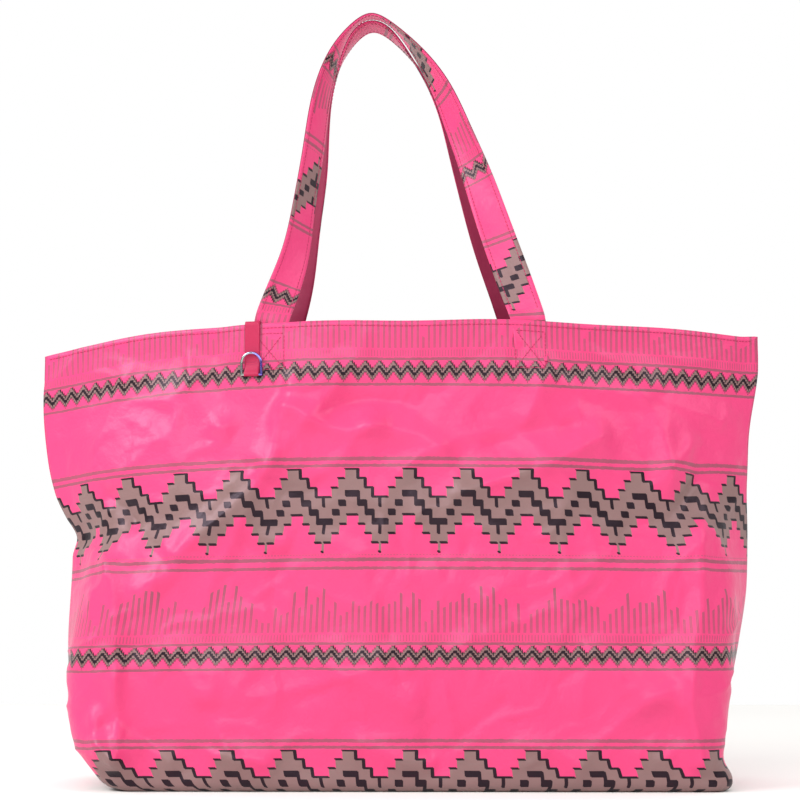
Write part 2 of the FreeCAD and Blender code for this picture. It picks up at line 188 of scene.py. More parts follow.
def row_shape():
    """Down the middle of a panel: (kind, value) from the base's centre line to the rim."""
    rows = [("base", k) for k in np.linspace(0, 1, 9)[:-1]]
    rows += [("turn", math.radians(a)) for a in (90, 75, 60, 45, 30, 15)]
    return rows + [("wall", z) for z in np.linspace(BASE_ROUND, RIM, WALL_ROWS)]


COLUMNS = np.linspace(-1, 1, 223)


def grid_normals(grid, face):
    across = np.gradient(grid, axis=1)
    up = np.gradient(grid, axis=0)
    n = np.cross(across, up) * -face
    return n / np.maximum(np.linalg.norm(n, axis=-1, keepdims=True), 1e-9)


class Wall:
    """One panel as a grid of points, with its cloth coordinates and a way to look places up."""

    def __init__(self, face):
        self.face = face
        rows, tops, runs, level = [], [], [], 0.0
        s = COLUMNS
        for kind, value in row_shape():
            if kind == "wall":
                rows.append(bare_wall(face, s, np.full_like(s, value)))
                tops.append(value)
                runs.append(RIM - value + SLACK * ((RIM - value) / SLACK_DEPTH) ** 3)
            elif kind == "turn":
                inset, z = BASE_ROUND * (1 - math.cos(value)), BASE_ROUND * (1 - math.sin(value))
                rows.append(bare_wall(face, s, np.full_like(s, z), inset))
                tops.append(z)
                runs.append(RIM - BASE_ROUND + FOOT_SLACK + BASE_ROUND * value)
            else:
                edge = bare_wall(face, s, np.zeros_like(s), BASE_ROUND)
                middle = edge.copy()
                middle[:, 0] = np.clip(edge[:, 0], -180, 180)
                middle[:, 1] = face * GAP / 2
                rows.append(middle + (edge - middle) * value)
                tops.append(0.0)
                runs.append(RIM + FOOT_SLACK + BASE_ROUND * 0.57 + BASE_RUN * (1 - value))
        grid = np.array(rows)
        height = np.array(tops)[:, None] * np.ones_like(s)[None]
        normal = grid_normals(grid, face)
        hem = 0.25 + 0.75 * step(0, 26, RIM - height)
        seam = step(0.0, 0.06, 1 - np.abs(s))[None]
        foot = step(0, 22, height)
        near_tab = np.hypot((grid[..., 0] - TAB_X) / 24, (height - RIM + 35) / 46)
        calm = step(0.8, 1.5, near_tab) if face == FRONT else 1.0
        out = creases(face, grid[..., 0], height) * hem * seam * foot * calm
        grid = grid + normal * out[..., None]
        wave = 1.1 * np.sin(grid[..., 0] / 61 + face) + 0.7 * np.sin(grid[..., 0] / 23 + 2 * face)
        grid[..., 2] += wave * step(RIM - 60, RIM, height) * seam * calm
        self.grid, self.height = grid, height
        self.normal = grid_normals(grid, face)
        self.cloth = np.stack([s[None] * CLOTH_HALF + 0 * height, np.array(runs)[:, None] + 0 * height], -1)
        self.first = len(rows) - WALL_ROWS
        self.z = np.linspace(BASE_ROUND, RIM, WALL_ROWS)

    def at(self, s, z, depth=0.0):
        """Points at a depth inside the cloth's outer side, and the outward normals there."""
        s, z, depth = np.broadcast_arrays(s, z, depth)
        u = np.clip((s + 1) / 2 * (len(COLUMNS) - 1), 0, len(COLUMNS) - 1.001)
        v = np.clip((z - BASE_ROUND) / (RIM - BASE_ROUND) * (len(self.z) - 1), 0, len(self.z) - 1.001)
        i, j = v.astype(int), u.astype(int)
        fv, fu = (v - i)[..., None], (u - j)[..., None]
        i = i + self.first
        found = []
        for g in (self.grid, self.normal):
            low = g[i, j] * (1 - fu) + g[i, j + 1] * fu
            high = g[i + 1, j] * (1 - fu) + g[i + 1, j + 1] * fu
            found.append(low * (1 - fv) + high * fv)
        normal = found[1] / np.linalg.norm(found[1], axis=-1, keepdims=True)
        return found[0] - normal * depth[..., None], normal

    def across(self, x, z):
        """The s where the wall passes x, at height z."""
        line, _ = self.at(COLUMNS, np.full_like(COLUMNS, z))
        return np.interp(x, line[:, 0], COLUMNS)


WALLS = {FRONT: Wall(FRONT), BACK: Wall(BACK)}


# ---- meshes -------------------------------------------------------------------------------
def add_mesh(name, points, faces, material, cloth=None):
    mesh = bpy.data.meshes.new(name)
    mesh.from_pydata((np.asarray(points) * 0.001).tolist(), [], faces)
    mesh.shade_smooth()
    mesh.materials.append(material)
    if cloth is not None:
        layer = mesh.attributes.new("cloth", "FLOAT_VECTOR", "POINT")
        layer.data.foreach_set("vector", np.asarray(cloth, np.float32).ravel())
    piece = bpy.data.objects.new(name, mesh)
    bpy.context.scene.collection.objects.link(piece)
    return piece


def quads(index):
    """Faces of a grid of vertex numbers."""
    a, b, c, d = index[:-1, :-1], index[:-1, 1:], index[1:, 1:], index[1:, :-1]
    return np.stack([a, b, c, d], -1).reshape(-1, 4)


def layer(name, outer, inner, material, cloth, flip=False):
    """Closed sheet between two grids of points, with a rounded border."""
    rows, columns = outer.shape[:2]
    count = rows * columns
    index = np.arange(count).reshape(rows, columns)
    ring = np.concatenate([index[0, :-1], index[:-1, -1], index[-1, :0:-1], index[:0:-1, 0]])
    flat_outer, flat_inner = outer.reshape(-1, 3), inner.reshape(-1, 3)
    inward = np.zeros_like(outer)
    inward[0] += outer[1] - outer[0]
    inward[-1] += outer[-2] - outer[-1]
    inward[:, 0] += outer[:, 1] - outer[:, 0]
    inward[:, -1] += outer[:, -2] - outer[:, -1]
    away = inward.reshape(-1, 3)[ring]
    away = -away / np.maximum(np.linalg.norm(away, axis=1, keepdims=True), 1e-9)
    thick = np.linalg.norm(flat_outer - flat_inner, axis=1)[ring][:, None]
    middle = (flat_outer[ring] + flat_inner[ring]) / 2 + away * thick * 0.3
    points = np.concatenate([flat_outer, flat_inner, middle])
    edge = 2 * count + np.arange(len(ring))
    after, edge_after = np.roll(ring, -1), np.roll(edge, -1)
    top, bottom = quads(index), quads(index)[:, ::-1] + count
    sides = [np.stack([after, ring, edge, edge_after], 1)]
    sides.append(np.stack([edge_after, edge, ring + count, after + count], 1))
    faces = np.concatenate([top, bottom] + sides)
    if flip:
        faces = faces[:, ::-1]
    flat = cloth.reshape(-1, 2)
    marks = [np.column_stack([flat, np.ones(count)]), np.column_stack([flat, np.zeros(count)])]
    marks.append(np.column_stack([flat[ring], np.full(len(ring), 0.5)]))
    return add_mesh(name, points, faces.tolist(), material, np.concatenate(marks))


def wall_layer(name, face, s, z, depth, thickness, material):
    """Sheet of cloth lying inside a wall. s, z and depth are grids."""
    wall = WALLS[face]
    outer, _ = wall.at(s, z, depth)
    inner, _ = wall.at(s, z, depth + thickness)
    cloth = np.stack([s * CLOTH_HALF, RIM - z], -1)
    return layer(name, outer, inner, material, cloth, flip=face == BACK)


def stitches(name, lines, material, pitch=3.2, length=2.5, radius=0.36):
    """Row of short sewn threads along lines of (points, normals)."""
    x = np.array([-1, -0.82, -0.3, 0.3, 0.82, 1]) * length / 2
    r = np.array([0.25, 0.8, 1, 1, 0.8, 0.25]) * radius
    turn = np.arange(6) * math.pi / 3
    across, up = np.cos(turn), np.sin(turn) * 0.75
    points, faces = [], []
    tube = np.arange(36).reshape(6, 6)
    shell = quads(np.column_stack([tube, tube[:, 0]])).tolist()
    shell += [tube[0].tolist(), tube[-1, ::-1].tolist()]
    for path, normals in lines:
        run = np.concatenate([[0], np.cumsum(np.linalg.norm(np.diff(path, axis=0), axis=1))])
        for centre in np.arange(pitch / 2, run[-1] - length / 2, pitch):
            place, ahead, n = ([np.interp(d, run, g[:, k]) for k in range(3)]
                               for d, g in ((centre, path), (centre + 0.8, path), (centre, normals)))
            place, ahead, n = np.array(place), np.array(ahead), np.array(n)
            t = ahead - place
            t /= max(np.linalg.norm(t), 1e-9)
            side = np.cross(n, t)
            side /= np.linalg.norm(side)
            n = np.cross(t, side)
            body = place + x[:, None, None] * t + r[:, None, None] * (
                across[None, :, None] * side + up[None, :, None] * n)
            base = 36 * len(points)
            points.append(body.reshape(-1, 3))
            faces += [[base + i for i in f] for f in shell]
    return add_mesh(name, np.concatenate(points), faces, material)


def wall_line(face, start, end, depth=0.0, count=24):
    """Line over a wall between two (x, z) places."""
    wall = WALLS[face]
    share = np.linspace(0, 1, count)
    x, z = start[0] + (end[0] - start[0]) * share, start[1] + (end[1] - start[1]) * share
    s = np.array([wall.across(a, b) for a, b in zip(x, z)])
    return wall.at(s, z, depth)


# ---- materials ----------------------------------------------------------------------------
PINK, TAUPE, BLACK = (0.70, 0.052, 0.180, 1), (0.225, 0.134, 0.127, 1), (0.005, 0.001, 0.003, 1)
LINE = (0.27, 0.072, 0.108, 1)
REVERSE = (0.58, 0.042, 0.145, 1)
# The print repeats down the cloth; its bands lie at these distances below the rim.
REPEAT, REPEAT_TOP = 231.0, 100.0
BIG_TOP, SMALL_TOP, SMALL_SCALE = 119.6, 263.6, 0.25
# (place, width, strength)
PRINT_LINES = [(111.8, 3.0, 0.9), (117.3, 2.5, 0.95), (193.2, 3.0, 0.95), (200.2, 2.5, 0.9),
               (262.0, 2.2, 0.95), (282.8, 2.2, 0.95)]
STREAK_FOOT, STREAK_PITCH, STREAK_WIDTH, HUMP_PITCH = 253.0, 4.74, 0.46, 66.0
MOTIF_WIDTH, MOTIF_HEIGHT, MOTIF_ROWS = 47.4, 68.4, 34.0
MOTIF_START = -40.9
MOTIF_COLUMNS, STEP_COLUMNS, STEP_ROWS = 24, 3, 3.75


def motif_column(column):
    """Rows where black, taupe, black, taupe, black and nothing begin, in a column of a stepped zigzag."""
    def top(c):
        return STEP_ROWS * (min(c % MOTIF_COLUMNS, -c % MOTIF_COLUMNS) // STEP_COLUMNS)

    row = top(column)
    shade = min(row, top(column - 1))  # a black upright beside each step down
    return shade, row + 0.6, row + 9.0 - (row - shade), row + 11.4, row + 18.3, row + 19.0


class Graph:
    """Small helper for joining shader nodes."""

    def __init__(self, tree):
        self.tree = tree

    def node(self, kind, **settings):
        made = self.tree.nodes.new(kind)
        for key, value in settings.items():
            setattr(made, key, value)
        return made

    def put(self, socket, value):
        if isinstance(value, bpy.types.NodeSocket):
            self.tree.links.new(value, socket)
        else:
            socket.default_value = value

    def math(self, operation, *values):
        made = self.node("ShaderNodeMath", operation=operation)
        for socket, value in zip(made.inputs, values):
            self.put(socket, value)
        return made.outputs[0]

    def within(self, value, low, high):
        return self.math("MULTIPLY", self.math("GREATER_THAN", value, low),
                         self.math("LESS_THAN", value, high))

    def mix(self, share, a, b):
        made = self.node("ShaderNodeMix", data_type="RGBA")
        self.put(made.inputs[0], share)
        self.put(made.inputs[6], a)
        self.put(made.inputs[7], b)
        return made.outputs[2]

    def noise(self, vector, scale, detail=2.0, rough=0.5):
        made = self.node("ShaderNodeTexNoise")
        self.put(made.inputs["Vector"], vector)
        made.inputs["Scale"].default_value = scale
        made.inputs["Detail"].default_value = detail
        made.inputs["Roughness"].default_value = rough
        return made.outputs[0]

    def most(self, *values):
        found = values[0]
        for value in values[1:]:
            found = self.math("MAXIMUM", found, value)
        return found


def motif_group():
    """Node group: stepped zigzag, from a share across (0 to 1) and a row, to black and taupe masks."""
    tree = bpy.data.node_groups.new("stepped_motif", "ShaderNodeTree")
    for name in ("Across", "Row"):
        tree.interface.new_socket(name, in_out="INPUT", socket_type="NodeSocketFloat")
    for name in ("Black", "Taupe"):
        tree.interface.new_socket(name, in_out="OUTPUT", socket_type="NodeSocketFloat")
    g = Graph(tree)
    start, end = g.node("NodeGroupInput"), g.node("NodeGroupOutput")
    levels = []
    for part in (0, 3):
        ramp = g.node("ShaderNodeValToRGB")
        ramp.color_ramp.interpolation = "CONSTANT"
        for i in range(MOTIF_COLUMNS):
            place = i / MOTIF_COLUMNS
            stop = ramp.color_ramp.elements[0] if i == 0 else ramp.color_ramp.elements.new(place)
            stop.position = place
            stop.color = [v / MOTIF_ROWS for v in motif_column(i)[part:part + 3]] + [1]
        while len(ramp.color_ramp.elements) > MOTIF_COLUMNS:
            ramp.color_ramp.elements.remove(ramp.color_ramp.elements[-1])
        g.put(ramp.inputs[0], start.outputs["Across"])
        split = g.node("ShaderNodeSeparateColor")
        g.put(split.inputs[0], ramp.outputs[0])
        levels += list(split.outputs)
    row = g.math("DIVIDE", start.outputs["Row"], MOTIF_ROWS)
    above = [g.math("GREATER_THAN", row, level) for level in levels]
    # each level passed turns one colour off and the next one on
    black = g.math("ADD", g.math("SUBTRACT", above[0], above[1]), g.math("SUBTRACT", above[2], above[3]))
    black = g.math("ADD", black, g.math("SUBTRACT", above[4], above[5]))
    taupe = g.math("ADD", g.math("SUBTRACT", above[1], above[2]), g.math("SUBTRACT", above[3], above[4]))
    g.put(end.inputs["Black"], black)
    g.put(end.inputs["Taupe"], taupe)
    return tree


def print_colour(g, group):
    """The printed cloth's colour, and the marks it is made of, from the cloth coordinates."""
    cloth = g.node("ShaderNodeAttribute", attribute_name="cloth")
    split = g.node("ShaderNodeSeparateXYZ")
    g.put(split.inputs[0], cloth.outputs["Vector"])
    across, down, side = split.outputs
    down = g.math("FLOORED_MODULO", g.math("SUBTRACT", down, REPEAT_TOP), REPEAT)
    down = g.math("ADD", down, REPEAT_TOP)
    uneven = g.noise(cloth.outputs["Vector"], 0.35, 3.0)
    ragged = g.math("MULTIPLY", g.math("SUBTRACT", uneven, 0.5), 1.6)
    start = g.math("SUBTRACT", across, MOTIF_START)
    black, taupe, marks = [], [], []
    # the small zigzag is the big one at a quarter of its size, with its black drawn heavier
    for top, scale, moves in ((BIG_TOP, 1.0, [(0, 0), (0.016, 0.35)]),
                              (SMALL_TOP, SMALL_SCALE, [(0, 0), (0, 1.4), (0, -1.4), (0.045, 0)])):
        inside = g.within(down, top - 0.3, top + MOTIF_HEIGHT * scale + 0.5)
        for shift, drop in moves:
            used = g.node("ShaderNodeGroup", node_tree=group)
            share = g.math("FRACT", g.math("ADD", g.math("DIVIDE", start, MOTIF_WIDTH * scale), shift))
            row = g.math("DIVIDE", g.math("SUBTRACT", down, top), MOTIF_HEIGHT * scale / MOTIF_ROWS)
            g.put(used.inputs["Across"], share)
            g.put(used.inputs["Row"], g.math("ADD", row, drop))
            black.append(g.math("MULTIPLY", used.outputs["Black"], inside))
            if not shift and not drop:
                taupe.append(g.math("MULTIPLY", used.outputs["Taupe"], inside))
    waver = g.math("ADD", down, ragged)
    for place, width, strength in PRINT_LINES:
        line = g.within(waver, place - width / 2, place + width / 2)
        marks.append(g.math("MULTIPLY", line, strength))
    dots = g.math("LESS_THAN", g.math("FRACT", g.math("DIVIDE", across, 2.6)), 0.55)
    marks.append(g.math("MULTIPLY", g.math("MULTIPLY", g.within(down, 188.9, 189.9), dots), 0.6))
    # tall streaks under a row of humps
    number = g.math("FLOOR", g.math("DIVIDE", across, STREAK_PITCH))
    chance = g.node("ShaderNodeTexWhiteNoise", noise_dimensions="1D")
    g.put(chance.inputs["W"], number)
    hump = g.math("COSINE", g.math("MULTIPLY", g.math("ADD", across, 6.0), 2 * math.pi / HUMP_PITCH))
    height = g.math("ADD", g.math("MULTIPLY_ADD", hump, 7.5, 25.0),
                    g.math("MULTIPLY", g.math("SUBTRACT", chance.outputs[0], 0.5), 20.0))
    bar = g.math("LESS_THAN", g.math("FRACT", g.math("DIVIDE", across, STREAK_PITCH)), STREAK_WIDTH)
    rise = g.math("SUBTRACT", STREAK_FOOT, down)
    streak = g.math("MULTIPLY", g.math("LESS_THAN", rise, height), g.math("GREATER_THAN", rise, 0.0))
    fade = g.math("MULTIPLY_ADD", g.math("DIVIDE", rise, 43.0), 0.45, 0.58)
    marks.append(g.math("MULTIPLY", g.math("MULTIPLY", streak, bar), fade))
    ticks = g.math("LESS_THAN", g.math("FRACT", g.math("DIVIDE", across, 2.4)), 0.4)
    marks.append(g.math("MULTIPLY", g.math("MULTIPLY", g.within(waver, 254.5, 260), ticks), 0.6))
    worn = g.math("MULTIPLY_ADD", uneven, 0.25, 0.84)
    colour = g.mix(g.math("MULTIPLY", g.most(*marks), worn), PINK, LINE)
    colour = g.mix(g.most(*taupe), colour, TAUPE)
    colour = g.mix(g.most(*black), colour, BLACK)
    faint = g.mix(0.12, REVERSE, colour)
    return g.mix(g.math("GREATER_THAN", side, 0.3), faint, colour)


def finish_cloth(name, paint, rough, crumple, grain):
    """Cloth material: paint(g) gives its colour; crumple and grain are bump heights."""
    made = bpy.data.materials.new(name)
    made.use_nodes = True
    g = Graph(made.node_tree)
    shader = made.node_tree.nodes["Principled BSDF"]
    place = g.node("ShaderNodeTexCoord").outputs["Object"]
    g.put(shader.inputs["Base Color"], paint(g))
    broad, fine = g.noise(place, 42.0, 4.0, 0.55), g.noise(place, 700.0, 2.0)
    patchy = g.math("MULTIPLY_ADD", broad, 0.16, rough - 0.08)
    g.put(shader.inputs["Roughness"], patchy)
    shader.inputs["Specular IOR Level"].default_value = 0.36
    shader.inputs["Specular Tint"].default_value = (1.0, 0.76, 0.93, 1)
    first, second = g.node("ShaderNodeBump"), g.node("ShaderNodeBump")
    first.inputs["Strength"].default_value = 1.0
    first.inputs["Distance"].default_value = crumple
    second.inputs["Strength"].default_value = 1.0
    second.inputs["Distance"].default_value = grain
    g.put(first.inputs["Height"], broad)
    g.put(second.inputs["Height"], fine)
    g.put(second.inputs["Normal"], first.outputs[0])
    g.put(shader.inputs["Normal"], second.outputs[0])
    return made


def plain(colour, deeper, scale=60.0):
    """Colour that drifts a little between two close shades."""
    def paint(g):
        place = g.node("ShaderNodeTexCoord").outputs["Object"]
        return g.mix(g.noise(place, scale, 3.0), deeper, colour)
    return paint


def ribbed(g):
    """Woven ribbon: ribs across its length."""
    cloth = g.node("ShaderNodeAttribute", attribute_name="cloth")
    split = g.node("ShaderNodeSeparateXYZ")
    g.put(split.inputs[0], cloth.outputs["Vector"])
    rib = g.math("MULTIPLY_ADD", g.math("SINE", g.math("MULTIPLY", split.outputs[1], 9.0)), 0.5, 0.5)
    return g.mix(rib, (0.36, 0.010, 0.052, 1), (0.48, 0.020, 0.078, 1))


def ring_metal():
    """Polished plated metal with a blue and violet cast."""
    made = bpy.data.materials.new("ring_metal")
    made.use_nodes = True
    g = Graph(made.node_tree)
    shader = made.node_tree.nodes["Principled BSDF"]
    place = g.node("ShaderNodeTexCoord").outputs["Object"]
    split = g.node("ShaderNodeSeparateXYZ")
    g.put(split.inputs[0], place)
    cast = g.math("MULTIPLY_ADD", split.outputs[0], 60.0, 7.62)
    cast = g.math("ADD", cast, g.math("MULTIPLY_ADD", g.noise(place, 260.0, 1.0), 0.8, -0.4))
    cast = g.math("MINIMUM", g.math("MAXIMUM", cast, 0.0), 1.0)
    g.put(shader.inputs["Base Color"], g.mix(cast, (0.40, 0.46, 0.42, 1), (0.20, 0.15, 0.62, 1)))
    shader.inputs["Metallic"].default_value = 1.0
    g.put(shader.inputs["Roughness"], g.math("MULTIPLY_ADD", g.noise(place, 500.0), 0.08, 0.10))
    bump = g.node("ShaderNodeBump")
    bump.inputs["Strength"].default_value = 0.3
    bump.inputs["Distance"].default_value = 0.00005
    g.put(bump.inputs["Height"], g.noise(place, 900.0))
    g.put(shader.inputs["Normal"], bump.outputs[0])
    return made


GROUP = motif_group()
PRINTED = finish_cloth("printed_cloth", lambda g: print_colour(g, GROUP), 0.38, 0.0016, 0.00006)
PLAIN = finish_cloth("plain_cloth", plain((0.60, 0.045, 0.155, 1), (0.51, 0.034, 0.125, 1)), 0.44, 0.0008,
                     0.00006)
# strap lining: plain pink cloth made much deeper than its own colour, as painted shade on the straps' inner
# faces
LINING_WITH_PAINTED_SHADE = finish_cloth("strap_lining_painted_shade", plain((0.27, 0.014, 0.056, 1), (0.22, 0.010, 0.044, 1)), 0.5, 0.0008,
                      0.00006)
BINDING = finish_cloth("binding_tape", plain((0.47, 0.032, 0.105, 1), (0.39, 0.024, 0.08, 1), 300.0), 0.6,
                       0.0004, 0.0001)
RIBBON = finish_cloth("ribbon", ribbed, 0.38, 0.0002, 0.00008)
THREAD = finish_cloth("thread", plain((0.46, 0.03, 0.105, 1), (0.37, 0.02, 0.08, 1), 900.0), 0.5, 0.0001,
                      0.0001)
METAL = ring_metal()


# ---- the bag's cloth ----------------------------------------------------------------------
for face, side in ((FRONT, "front"), (BACK, "back")):
    wall = WALLS[face]
    inner = wall.grid - wall.normal * CLOTH
    inner[:, [0, -1], 1] = wall.grid[:, [0, -1], 1]
    inner[..., 1] = np.where(face * inner[..., 1] < GAP / 2, face * GAP / 2, inner[..., 1])
    body = layer(f"{side}_panel_cloth", wall.grid, inner, PRINTED, wall.cloth, flip=face == BACK)
    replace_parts(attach(body, "bag"), f"{side}_panel")

    s, z = np.meshgrid(np.linspace(-0.985, 0.985, 200), np.linspace(RIM - 32, RIM - 0.4, 13))
    band = wall_layer(f"{side}_facing_cloth", face, s, z, CLOTH + GAP, FACING, PLAIN)
    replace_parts(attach(band, "bag"), f"{side}_rim_facing")

    s = np.linspace(-0.985, 0.985, 400)
    threads = stitches(f"{side}_rim_threads", [wall.at(s, RIM - 3.9, -0.18)], THREAD)
    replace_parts(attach(threads, "bag"), f"{side}_rim_stitch")

    for hand, turn in (("left", -1), ("right", 1)):
        x, top = turn * STRAP_X, RIM - 8.5
        x0, x1, z0, z1 = x - 12, x + 12, top - 29, top
        sides = [((x0, z0), (x0, z1)), ((x1, z0), (x1, z1)), ((x0, z0), (x1, z0)), ((x0, z1), (x1, z1)),
                 ((x0 + 1, z0 + 1), (x1 - 1, z1 - 1)), ((x0 + 1, z1 - 1), (x1 - 1, z0 + 1))]
        box = stitches(f"{side}_{hand}_box_threads", [wall_line(face, a, b, -0.15) for a, b in sides],
                       THREAD, 3.0, 2.4, 0.34)
        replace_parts(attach(box, "bag"), f"{side}_{hand}_box_stitch")


# ---- bindings inside ----------------------------------------------------------------------
for hand, turn in (("left", -1), ("right", 1)):
    s, z = np.meshgrid(turn * np.linspace(0.957, 0.987, 5), np.linspace(32, RIM - 36, 90))
    depth = CLOTH + 0.6 + 0.35 * np.sin(z / 17 + turn) * np.sin(z / 41)
    tape = wall_layer(f"{hand}_seam_tape", BACK, s, z, depth, 1.1, BINDING)
    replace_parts(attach(tape, "bag"), f"{hand}_side_binding")


def flat_tape(name, x0, x1, y0, y1, node):
    """Tape lying on the base inside the bag."""
    along_x = abs(x1 - x0) > abs(y1 - y0)
    nx, ny = (120, 5) if along_x else (5, 30)
    x, y = np.meshgrid(np.linspace(x0, x1, nx), np.linspace(y0, y1, ny))
    z = 2.4 + 0.25 * np.sin(x / 19) * np.sin(y / 13 + x / 31)
    top, under = np.stack([x, y, z], -1), np.stack([x, y, z * 0 + 1.2], -1)
    tape = layer(name, top, under, BINDING, np.stack([x, y], -1))
    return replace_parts(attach(tape, "bag"), node)


flat_tape("base_seam_tape", -222, 222, 0.5, 9.5, "bottom_binding")
flat_tape("left_corner_tape", -234, -225, -38, 38, "left_corner_binding")
flat_tape("right_corner_tape", 225, 234, -38, 38, "right_corner_binding")


# ---- pocket -------------------------------------------------------------------------------
def pocket_grid(z0, z1, rows):
    wall = WALLS[BACK]
    z = np.linspace(z0, z1, rows)
    edge = np.array([[wall.across(side * POCKET_HALF, v) for side in (-1, 1)] for v in z])
    k = np.linspace(-1, 1, 90)
    s = edge[:, :1] + (edge[:, 1:] - edge[:, :1]) * (k[None] + 1) / 2
    z = np.broadcast_to(z[:, None], s.shape)
    up = np.clip((z - POCKET_BOTTOM) / (POCKET_TOP - POCKET_BOTTOM), 0, 1)
    ease = POCKET_EASE * (1 - k[None] ** 2) * np.sin(up * math.pi / 2)
    ease = ease + (0.9 * np.sin(k[None] * 17) + 0.8 * np.sin(k[None] * 8 + z / 19)) * up * (1 - k[None] ** 4)
    return s, z, CLOTH + GAP + np.maximum(ease, 0)


s, z, depth = pocket_grid(POCKET_BOTTOM, POCKET_TOP, 60)
pocket = wall_layer("pocket_cloth", BACK, s, z, depth, FACING, PLAIN)
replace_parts(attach(pocket, "bag"), "pocket_panel")
s, z, depth = pocket_grid(POCKET_TOP - 18, POCKET_TOP, 10)
hem = wall_layer("pocket_hem_cloth", BACK, s, z, depth + FACING + 0.1, FACING, PLAIN)
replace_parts(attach(hem, "bag"), "pocket_hem")
reach, low = POCKET_HALF - 3, POCKET_BOTTOM + 3
runs = [((-reach, low), (-reach, POCKET_TOP - 2)), ((reach, low), (reach, POCKET_TOP - 2)),
        ((-reach, low), (reach, low))]
threads = stitches("pocket_threads", [wall_line(BACK, a, b, -0.15, 60) for a, b in runs], THREAD)
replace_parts(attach(threads, "bag"), "pocket_stitch")


# ---- straps -------------------------------------------------------------------------------
ARCH = [(-105, 0), (-88, 50), (-75, 125), (-65, 190), (-48, 243), (-25, 264), (0, 249), (28, 211),
        (52, 157), (76, 85), (105, 0)]
ARCH_TWIST = [(0, 11), (0.12, 46), (0.28, 60), (0.4, 80), (0.48, 106), (0.56, 92), (0.7, 52), (0.84, 16),
              (1, 11)]
RISE, SETTLE, APART, ROOT_Y, ROOT_Z, FREE = 270.0, 45.0, 1.5, 67.99, 372.5, 6.0


def spline(points, count):
    """Natural cubic curve through points, as many evenly spaced places along it."""
    points = np.array(points, float)
    knots = np.concatenate([[0], np.cumsum(np.linalg.norm(np.diff(points, axis=0), axis=1))])
    n, h = len(knots), np.diff(knots)
    system, right = np.eye(n), np.zeros((n, points.shape[1]))
    for i in range(1, n - 1):
        system[i, i - 1:i + 2] = h[i - 1], 2 * (h[i - 1] + h[i]), h[i]
        slopes = (points[i + 1] - points[i]) / h[i] - (points[i] - points[i - 1]) / h[i - 1]
        right[i] = 6 * slopes
    bend = np.linalg.solve(system, right)
    t = np.linspace(0, knots[-1], 2400)
    i = np.clip(np.searchsorted(knots, t, side="right") - 1, 0, n - 2)
    a, b, w = (knots[i + 1] - t)[:, None], (t - knots[i])[:, None], h[i][:, None]
    line = (bend[i] * a**3 + bend[i + 1] * b**3) / (6 * w)
    line += (points[i] / w - bend[i] * w / 6) * a + (points[i + 1] / w - bend[i + 1] * w / 6) * b
    run = np.concatenate([[0], np.cumsum(np.linalg.norm(np.diff(line, axis=0), axis=1))])
    return np.stack([np.interp(np.linspace(0, run[-1], count), run, line[:, k]) for k in range(3)], 1)


def unit(v):
    return v / np.maximum(np.linalg.norm(v, axis=-1, keepdims=True), 1e-9)


def strap_frames(face):
    """Along a whole strap, sewn ends too: middle, direction across it, printed side's normal."""
    top_y = face * (APART + STRAP_WIDTH) / 2
    scale = RISE / 264.0
    places = [(x, face * ROOT_Y + (top_y - face * ROOT_Y) * h * scale / RISE, ROOT_Z + h * scale)
              for x, h in ARCH]
    line = spline(places, 261)
    run = np.concatenate([[0], np.cumsum(np.linalg.norm(np.diff(line, axis=0), axis=1))])
    lean = unit(np.array([0, top_y - face * ROOT_Y, RISE]))
    front = np.array([0, face * lean[2], -face * lean[1]])
    tangent = unit(np.gradient(line, axis=0))
    away = unit(np.cross(tangent, front) * -face)
    twist = np.radians(curve(ARCH_TWIST, run / run[-1]))[:, None]
    width = away * np.cos(twist) - front * np.sin(twist)
    normal = front * np.cos(twist) + away * np.sin(twist)
    level = unit(width * [1, 1, 0])
    loose = np.clip(np.minimum(run, run[-1] - run) / SETTLE, 0, 1)[:, None]
    width = unit(level * (1 - loose) + width * loose)
    keep = (run > FREE) & (run < run[-1] - FREE)
    middle, width, normal = line[keep], width[keep], normal[keep]
    wall = WALLS[face]
    ends = []
    for side in (-1, 1):
        z = np.linspace(RIM - STRAP_SEWN, RIM - 0.5, 14)
        depth = CLOTH + FACING + 2 * GAP + STRAP_LAYER
        if face == FRONT and side < 0:
            depth += TAB + GAP
        s = wall.across(side * STRAP_X, RIM)
        point, out = wall.at(np.full_like(z, s), z, depth)
        step_x, _ = wall.at(np.full_like(z, s + 0.02), z, depth)
        ends.append((point, unit(step_x - point) * -side, out))
    right = [a[::-1] for a in ends[1]]
    free = (middle, width, normal)
    middle, width, normal = (np.concatenate([a, b, c]) for a, b, c in zip(ends[0], free, right))
    for _ in range(6):
        middle[1:-1] = middle[1:-1] * 0.5 + (middle[:-2] + middle[2:]) * 0.25
        width[1:-1] = width[1:-1] * 0.5 + (width[:-2] + width[2:]) * 0.25
        normal[1:-1] = normal[1:-1] * 0.5 + (normal[:-2] + normal[2:]) * 0.25
    width = unit(width)
    normal = unit(normal - width * (normal * width).sum(1, keepdims=True))
    return middle, width, normal


def strap_print(run):
    """Place in the print's repeat along a strap, from the right rim over the arch to the left rim."""
    total = run[-1]
    back = total - run
    places = [0, STRAP_SEWN, STRAP_SEWN + 140, total - STRAP_SEWN - 120, total - STRAP_SEWN - 26, total]
    return np.interp(back, places, [237, 201, 40, -308, -420, -486])


